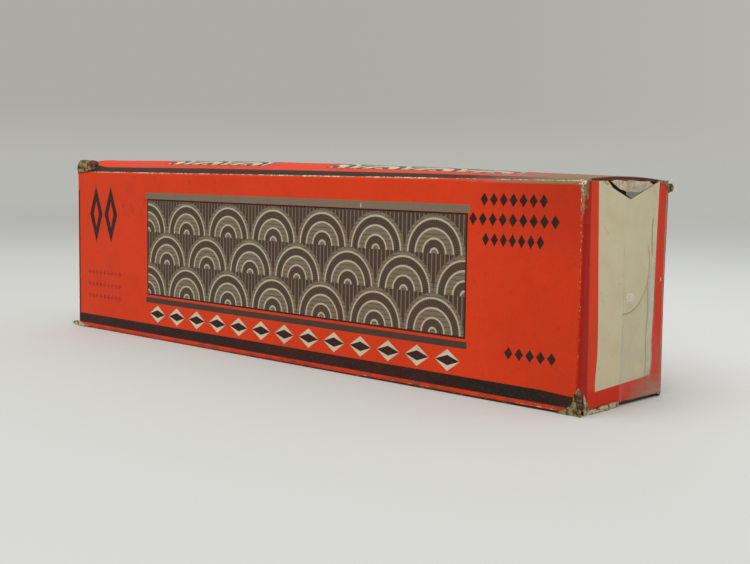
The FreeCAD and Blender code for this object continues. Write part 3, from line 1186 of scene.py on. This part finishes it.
def printed_finish(name, artwork, more_wear=None, grime=0.25):
    """A printed face: its artwork, aged, and rubbed bare along its folds and at its corners."""
    material, shader = new_finish(name)
    place = use(RULER)
    bare, soiled = use(WEAR, *place)
    if more_wear:
        bare = largest(bare, *more_wear(*place))
    colour, roughness, height = use(HANDLING, artwork(*place), bare, soiled, grime)
    coat(shader, colour, roughness, 0.15)
    relief(shader, height, 0.3, 0.05 * MM)
    return material


def plain_print(name, colour):
    """Print with no artwork, worn all over in small flecks."""
    return printed_finish(name, lambda *_: colour, lambda *_: (flecks(0.5, 1, 0.3, 120),))


def bare_finish(name, light, dark, soil, strength):
    """Unprinted board."""
    material, shader = new_finish(name)
    colour, height = use(STOCK, light, dark, soil)
    coat(shader, colour, 0.85, 0.2)
    relief(shader, height, strength, 0.08 * MM)
    return material


def film_finish():
    """Clear film, a little hazed, with creases and places where it has come unstuck."""
    material, shader = new_finish("clear film")
    _, back, up = use(RULER)
    cloud = noise(120)
    fine = noise(700)
    streaked = ramp(cloud, 0.35, 0.7) * 0.8 + 0.6
    # The stuck place ends in an arc; beyond it the film stands off the label.
    from_arc = far(off(back, 16.4), off(up, 30.4)) - 10.2
    below = ramp(up, 37, 33)
    loose = ramp(from_arc, -0.1, 0.1) * below * ramp(back, 29.6, 28.8) * ramp(up, 4.8, 5.4)
    arc = ramp(abs(from_arc), 0.28, 0.08) * below
    cut = ramp(off(back + up * 0.026, 16.45), 0.16, 0.04)
    # The crease down the film: a painted highlight in a pale band, with a thin line of painted shade beside
    # it, and painted shade higher up.
    from_crease = back + calc("SINE", up * 0.55) * 0.18 - 28.2
    crease = ramp(abs(from_crease + 0.2), 1.4, 0.6) * slope(up, 27, 33, 1, 0.25) * ramp(up, 3.6, 5)
    crease_edge = ramp(abs(from_crease + 1.9), 0.3, 0.1) * ramp(up, 29, 26) * ramp(up, 4.6, 5.4)
    shade = ramp(abs(from_crease + 0.7), 0.22, 0.08) * ramp(off(up, 36.5), 5, 3.5)
    # Haze and dirt along the foot and at the back corner.
    low_strip = ramp(up, 2.6, 2) * ramp(back, 16, 24) * streaked * 0.30
    low_haze = ramp(up, 7.5, 3) * ramp(back, 17, 25) * 0.22
    corner = ramp(back, 30.2, 31) * ramp(up, 30, 6) * 0.09
    # Over the thumb notch the film shows a slate painted reflection, its torn lip is pale with painted
    # glare, and a small pale patch lies under the film.
    notch_edge = off(back, 17.8) * 0.33 + 45
    notch = ramp(up - notch_edge, 0, 0.3) * ramp(back, 27.6, 27) * 0.22
    lip = ramp(up + cloud * 2 - 1, 46.6, 48.4) * ramp(back, 28.4, 26)
    patch = block(back, up, 16.7, 19.8, 22.6, 24.7, 0.3)
    alpha = largest(
        streaked * 0.015 + loose * streaked * 0.05 + cut * 0.12 + 0.015,
        arc * 0.18,
        crease * streaked * 0.30,
        shade * 0.35,
        low_strip,
        crease_edge * 0.2,
        low_haze * streaked,
        corner * streaked,
        notch,
        lip * ramp(fine, 0.35, 0.65) * 0.4,
        patch * 0.35,
    )
    clearest = ramp(back, 29.4, 30.2) * ramp(up, 9, 20)
    colour = lay(
        FILM_HAZE,
        # Painted highlight along the crease.
        (crease, ink(212, 215, 198)),
        (largest(arc, shade, crease_edge), FILM_SHADOW),
        # Painted reflection on the film over the notch.
        (notch, ink(120, 134, 140)),
        # The lip, pale with painted glare.
        (lip, ink(190, 172, 148)),
        (patch, ink(236, 230, 214)),
        (ramp(largest(low_strip, low_haze, corner), 0, 0.06), FILM_SOILED),
    )
    coat(shader, colour, 0.25, 0.35)
    feed(shader.inputs["Alpha"], alpha * slope(clearest, 0, 1, 1, 0.15))
    relief(shader, crease * 0.8 + cloud * 0.5, 0.4, 0.1 * MM)
    return material


BARE = bare_finish("bare inner board", BARE_BOARD, BARE_DARK, 0.3, 0.4)
CUT = bare_finish("cut edge of board", ink(158, 142, 112), ink(92, 78, 58), 0.5, 0.6)
TORN = bare_finish("torn board", ink(190, 174, 142), ink(84, 68, 46), 0.9, 0.9)
OLIVE = bare_finish("soiled torn board", ink(136, 122, 82), ink(52, 34, 22), 1, 0.9)
PINKISH = bare_finish("torn inner board", ink(202, 182, 154), ink(130, 112, 88), 0.6, 0.9)
SOILED = bare_finish("soiled torn print", ink(112, 60, 42), ink(52, 36, 24), 1, 0.6)
FRONT = printed_finish("printed front", front_artwork, front_wear)
TOP = printed_finish("printed top", top_artwork, top_wear)
BACK = printed_finish("printed back", back_artwork, back_wear)
BOTTOM = printed_finish("printed bottom", bottom_artwork, bottom_wear)
END = printed_finish("printed end", end_artwork, end_wear, grime=0.15)
DUST_PRINT = plain_print("printed dust flap", ORANGE)
# Painted shade: black for the taped end's dust flaps, seen through the notch.
DUST_FLAP_IN_PAINTED_SHADE = plain_print("dust flap in painted shade", BLACK)
# Painted shade: dark maroon for the taped end's creases and the bottom panel's cut edges.
CREASE_IN_PAINTED_SHADE = plain_print("crease in painted shade", PAINTED_SHADE_MAROON)
INKED_EDGE = plain_print("inked cut edge", SHADED_RED)
BLACKENED = printed_finish("blackened board", lambda *_: BLACK, grime=0)
FILM_FINISH = film_finish()


def dress(piece, outer, inner=BARE, cut=CUT):
    """Gives a piece its outer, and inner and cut-edge finishes."""
    for place, finish in enumerate((outer, inner, cut)):
        piece.data.materials[place] = finish
    return piece


# ================================ the carton ================================

def build_tube():
    """The four long panels and the glue flap."""
    for make, slot, finish, cut, node in (
        (make_front_panel, "printed_board", FRONT, CUT, "front_panel"),
        (make_top_panel, "printed_board", TOP, CUT, "top_panel"),
        (make_back_panel, "printed_board", BACK, INKED_EDGE, "back_panel"),
        # the bottom panel's cut edges are dark maroon as painted shade
        (make_bottom_panel, "printed_board", BOTTOM, CREASE_IN_PAINTED_SHADE, "bottom_panel"),
        (make_glue_flap, "inner_board", BARE, CUT, "glue_flap"),
    ):
        piece = dress(make(), finish, cut=cut)
        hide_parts(node)
        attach(piece, "root")


def build_ends():
    """The closing flaps, the dust flaps and the creases. Only those of the plain end move."""
    for end, outwards in (("taped_end", 1), ("plain_end", -1)):
        moving = end == "plain_end"
        flap = dress(make_closing_flap(end + "_closing_flap", outwards), END)
        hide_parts(end + "_flap", end + "_tongue")
        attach(flap, "plain_end_flap" if moving else "root")
        for level in ("upper", "lower"):
            upper = level == "upper"
            node = end + "_" + level + "_dust_flap"
            crown = crown_at(PLAIN_FACE if moving else TAPED_FACE) if upper else 0
            dust = make_dust_flap(node, outwards, crown, upper and not moving)
            # The taped end's dust flaps are black as painted shade inside the carton, seen through the
            # notch.
            dress(dust, DUST_PRINT if moving else DUST_FLAP_IN_PAINTED_SHADE)
            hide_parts(node)
            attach(dust, node if moving else "root")
            crease = make_dust_crease(node + "_crease", outwards, upper, crown)
            panel_print = TOP if upper else BOTTOM
            # The taped end's creases are dark maroon as painted shade under the top panel's end and over the
            # floor.
            dress(crease, panel_print if moving else CREASE_IN_PAINTED_SHADE)
            if moving:
                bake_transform(crease)
            else:
                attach(crease, "root")
    fold = dress(make_plain_end_crease(), FRONT)
    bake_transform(fold)


def build_tape():
    """The clear film that holds the taped end shut."""
    film = dress(make_tape(), FILM_FINISH, FILM_FINISH, FILM_FINISH)
    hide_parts("tape_over_end", "tape_over_back")
    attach(film, "root")


def on_front(off_face, *places):
    """Places on the front face, given along and up in millimetres, some way off it."""
    x, y, z = PLAIN_FACE / MM, FRONT_FACE / MM, UNDERSIDE / MM
    return [(x + along, y - off_face, z + up) for along, up in places]


def on_taped_end(off_face, *places):
    """Places on the taped end, given back and up in millimetres, some way off it."""
    x, y, z = TAPED_FACE / MM, FRONT_FACE / MM, UNDERSIDE / MM
    return [(x + off_face, y + back, z + up) for back, up in places]


def on_upper_corner(off_face, *places):
    """Places on the upper front corner at the plain end, where the torn board leans back."""
    set_back, lean, lean_from = 0.1, 0.2, 48.5
    return [(x, y + set_back + lean * (z - lean_from), z) for x, y, z in on_front(off_face, *places)]


def build_worn_corners():
    """Torn layers at the corners, each from an outline on its face, and the rolled black lip."""
    # Name, way out, ruffle, thickness, finish and seed, and then the outline, which starts with how
    # far it is off its face.
    layers = (
        ("frayed_lower_front_corner", (0, -1, 0), 3, 0.3, TORN, 3,
         on_front(0.35, (-3.6, 0.7), (-2.4, 0.2), (0.4, 0.1), (2.6, 0.1), (5.8, 0.1), (5.4, 0.4), (3.6, 0.6),
                  (2.2, 0.9), (0.6, 1.3), (-0.8, 1.5), (-2.4, 1.3))),
        ("torn_upper_front_corner", (0, -1, 1), 4, 0.25, OLIVE, 7,
         on_upper_corner(0, (0.1, 48.6), (3, 48.8), (5.6, 49), (8, 49.4), (9.6, 50), (10.6, 50.9),
                         (10.8, 51.6), (9.8, 52.1), (8.2, 52.4), (6.2, 52.3), (4.4, 52.5), (2.6, 52.5),
                         (1, 52.4), (0, 51.9), (-0.4, 50.8), (-0.2, 49.6))),
        ("soiled_upper_front_fold", (0, -1, 1), 3, 0.08, SOILED, 9,
         on_upper_corner(0.22, (5.2, 50.2), (6.6, 49.9), (8, 49.7), (9.4, 50.1), (10.3, 50.9), (10.6, 51.6),
                         (9.4, 52), (7.8, 52.2), (6.4, 51.9), (5.4, 51.5))),
        ("torn_taped_corner_layer", (0, -1, 0), 6, 0.3, OLIVE, 11,
         on_front(0.3, (180.4, 0.1), (183.4, 0), (186.4, 0.05), (186.3, 1.6), (186.5, 3.2), (186.2, 4.8),
                  (185.8, 6.2), (185.3, 5.5), (184.9, 4.8), (184.6, 4.1), (184.5, 3.3), (184.1, 2.6),
                  (183.5, 2.1), (182.8, 1.2), (181.4, 0.8))),
        ("torn_taped_corner_flake", (1, 0, 0), 4, 0.2, TORN, 13,
         on_taped_end(0.3, (1.8, 0.15), (3.9, 0.1), (3.7, 0.8), (3.5, 1.5), (3.2, 2.3), (2.6, 2.8),
                      (2.1, 3.6), (1.6, 4.4), (1.2, 4.6), (1.5, 3.6), (1.8, 2.4), (1.8, 1.2))),
        ("torn_flap_lower_edge", (1, 0, 0), 4, 0.15, TORN, 5,
         on_taped_end(0.10, (3.6, 0.15), (5.8, 0.1), (8.5, 0.15), (11.9, 0.1), (13.6, 0.3), (15.5, 0.4),
                      (15.3, 1.15), (13, 1.35), (10.9, 1.15), (8.4, 1.2), (6.2, 0.9), (4.6, 1), (3.4, 0.8))),
        ("torn_layer_behind_notch", (1, 0, 0), 3, 0.12, PINKISH, 21,
         on_taped_end(-0.14, (13.2, 47.1), (14.9, 46.8), (16.4, 46.4), (18, 46.6), (20, 46.4), (21.7, 46.5),
                      (23.4, 46.9), (25.1, 47.4), (27.2, 48.1), (25.4, 48.9), (21.6, 48.8), (18, 49),
                      (15.3, 48.8), (12, 49), (9.8, 48.7), (11.2, 48))),
        ("frayed_flap_upper_corner", (1, 0, 1), 5, 0.15, OLIVE, 19,
         on_taped_end(0.45, (30.4, 48.5), (32.2, 48.3), (33.3, 47.6), (33.9, 46.3), (34.5, 46.6),
                      (34.2, 47.9), (33.2, 48.7), (31.6, 49))),
    )
    for name, outwards, ruffle, thickness, finish, seed, outline in layers:
        layer = make_torn_layer(name, outline, outwards, ruffle, thickness, seed)
        dress(layer, finish, finish, finish)
        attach(layer, "root")
    lip_edge = (TAPED_FACE - 0.6 * MM, BACK_FACE + 1.2 * MM, TOP_FOLD - 0.7 * MM)
    lip = make_curl(
        "rolled_upper_back_corner", lip_edge, length=1.3 * MM, radius=0.95 * MM, turn=560, steps=4
    )
    dress(lip, BLACKENED, PINKISH, BLACKENED)
    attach(lip, "root")


# ================================ stage, light and camera ================================

CAMERA_LENS = 54.33             # in millimetres, on film 36 wide
CAMERA_TURN = [math.radians(angle) for angle in (42.846, -5.468, 0.886)]    # yaw, pitch and roll
CAMERA_PLACE = (PLAIN_FACE + 311.433 * MM, FRONT_FACE - 197.770 * MM, 49.504 * MM)
CAMERA_RIGHT = Vector((math.cos(CAMERA_TURN[0]), math.sin(CAMERA_TURN[0]), 0))


def backdrop_seen():
    """1 where a surface is seen straight, in a reflection or through glass, and 0 where it only
    gives light."""
    path = add("LightPath")
    return largest(*[Wire(path.outputs[f"Is {ray} Ray"]) for ray in ("Camera", "Glossy", "Transmission")])


def show(output, share, first, second):
    """Puts out the first shader, and the second where the share is 1."""
    mixer = add("MixShader")
    feed(mixer.inputs[0], share)
    feed(mixer.inputs[1], Wire(first.outputs[0]))
    feed(mixer.inputs[2], Wire(second.outputs[0]))
    feed(Wire.tree.nodes[output].inputs["Surface"], Wire(mixer.outputs[0]))


def build_floor():
    """A pale floor with painted light, paler near the carton and darker away from it, with a painted pool of
    light at the right; far away it goes over into the backdrop's colour.
    """
    bpy.ops.object.select_all(action="DESELECT")
    bpy.ops.mesh.primitive_circle_add(vertices=96, radius=9, fill_type="NGON", location=(0, 0, 0))
    floor = name_it("floor")
    material, shader = new_finish("pale floor")
    x, y, _ = split(object_place())
    away = far(x, y)
    to_right = x * CAMERA_RIGHT.x + y * CAMERA_RIGHT.y
    # Painted light: a pool of light on the floor at the right.
    lit = ramp(to_right, 0.05, 0.13) * slope(away, 0.2, 0.5, 1, 0.4)
    coat(shader, lay(FLOOR_NEAR, (ramp(away, 0.12, 0.8), FLOOR_AWAY), (lit, FLOOR_LIT)), 0.8, 0.2)
    distant = add("Emission")
    feed(distant.inputs["Color"], HORIZON)
    show("Material Output", backdrop_seen() * ramp(away, 0.3, 1.5), shader, distant)
    floor.data.materials.append(material)


def build_world():
    """Even pale light all round, with a grey backdrop behind the floor that is darker towards the left of
    the view as painted shade.
    """
    world = bpy.data.worlds.new("studio")
    world.use_nodes = True
    bpy.context.scene.world = world
    Wire.tree = world.node_tree
    light = Wire.tree.nodes["Background"]
    feed(light.inputs["Color"], (0.96, 0.98, 1, 1))
    feed(light.inputs["Strength"], 0.85)
    backdrop = add("Background")
    x, _, z = split(Wire(add("TexCoord").outputs["Generated"]))
    # Painted shade: the backdrop darker towards the left of the view.
    upper = mix(ramp(x, -0.7, -0.30), ink(173, 170, 165), ink(184, 182, 177))
    feed(backdrop.inputs["Color"], mix(ramp(z, 0, 0.06), HORIZON, upper))
    show("World Output", backdrop_seen(), light, backdrop)


def build_lamp(name, place, size, power):
    """A wide soft lamp that faces the carton."""
    lamp = bpy.data.lights.new(name, "AREA")
    lamp.shape = "RECTANGLE"
    lamp.size = size
    lamp.size_y = size
    lamp.energy = power
    holder = bpy.data.objects.new(name, lamp)
    bpy.context.scene.collection.objects.link(holder)
    holder.location = place
    holder.rotation_euler = (Vector((0, 0, 0.02)) - Vector(place)).to_track_quat("-Z", "Y").to_euler()


def build_camera():
    """A camera low in front of the carton, turned towards its taped end."""
    camera = bpy.data.objects.new("camera", bpy.data.cameras.new("camera"))
    bpy.context.scene.collection.objects.link(camera)
    bpy.context.scene.camera = camera
    camera.data.sensor_width = 36
    camera.data.lens = CAMERA_LENS
    camera.data.clip_start = 0.01
    camera.data.clip_end = 50
    yaw, pitch, roll = CAMERA_TURN
    forward = Vector((-math.sin(yaw) * math.cos(pitch), math.cos(yaw) * math.cos(pitch), math.sin(pitch)))
    upright = CAMERA_RIGHT.cross(forward)
    right = CAMERA_RIGHT * math.cos(roll) + upright * math.sin(roll)
    over = upright * math.cos(roll) - CAMERA_RIGHT * math.sin(roll)
    turn = Matrix((right, over, -forward)).transposed().to_4x4()
    camera.matrix_world = Matrix.Translation(CAMERA_PLACE) @ turn


build_tube()
build_ends()
build_tape()
build_worn_corners()
build_floor()
build_world()
build_lamp("soft light above", place=(0.1, -0.5, 1.1), size=1.2, power=11)
build_camera()
bpy.context.scene.view_settings.view_transform = "Standard"
